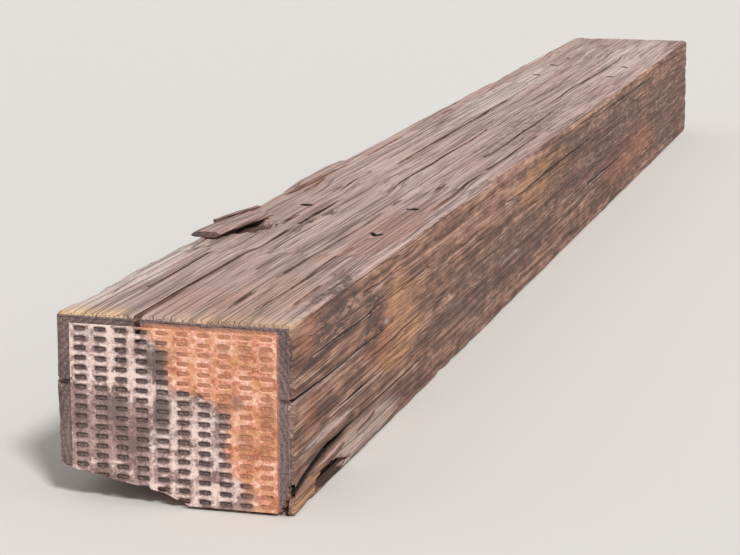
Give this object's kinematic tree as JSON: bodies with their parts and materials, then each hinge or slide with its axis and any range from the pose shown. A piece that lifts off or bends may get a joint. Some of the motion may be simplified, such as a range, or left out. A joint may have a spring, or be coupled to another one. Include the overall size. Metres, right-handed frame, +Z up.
{
  "type": "railway sleeper",
  "caption": "Used hardwood railway sleeper with worn rail seats, spike holes and toothed anti-split end plates.",
  "frame": {"origin": "middle of the underside, half way along the sleeper", "axes": "+X across the sleeper, +Y along it from the worn end to the plain end, +Z up"},
  "size_m": [0.229, 2.5924, 0.178],
  "materials": {
    "timber": "weathered, creosoted hardwood, grey on top and dark brown on the sides",
    "end_plate": "galvanised sheet, half of it rusted orange"
  },
  "bodies": {
    "root": {"timber": "timber", "end_plate_near": "end_plate", "end_plate_far": "end_plate"}
  },
  "joints": []
}
